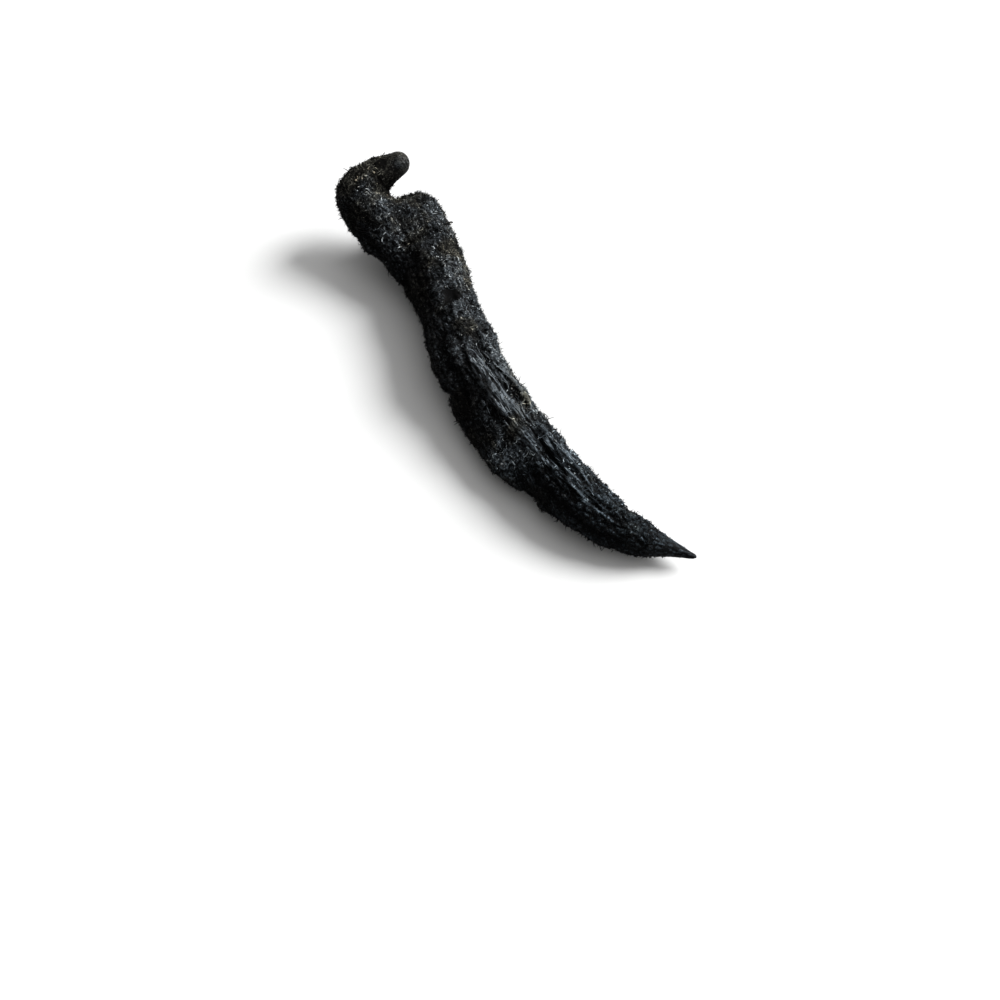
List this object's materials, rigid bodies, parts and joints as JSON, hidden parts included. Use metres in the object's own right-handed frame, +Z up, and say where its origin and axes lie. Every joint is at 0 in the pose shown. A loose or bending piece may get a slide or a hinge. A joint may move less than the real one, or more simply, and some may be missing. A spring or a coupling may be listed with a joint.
{
  "type": "dried black turmeric rhizome",
  "caption": "Slender dried rhizome with a hooked side shoot at its blunt end, a side bud along its belly, furrowed bristly skin and a pointed tail.",
  "frame": {"origin": "middle of the footprint, on the surface that the rhizome rests on", "axes": "+X along the rhizome towards its pointed tail, +Y towards the stump's side, away from the side bud, +Z up"},
  "size_m": [0.1076, 0.0266, 0.0206],
  "materials": {
    "bark": "matte, near-black, dry and fibrous"
  },
  "bodies": {
    "root": {"rhizome": "bark"}
  },
  "joints": []
}
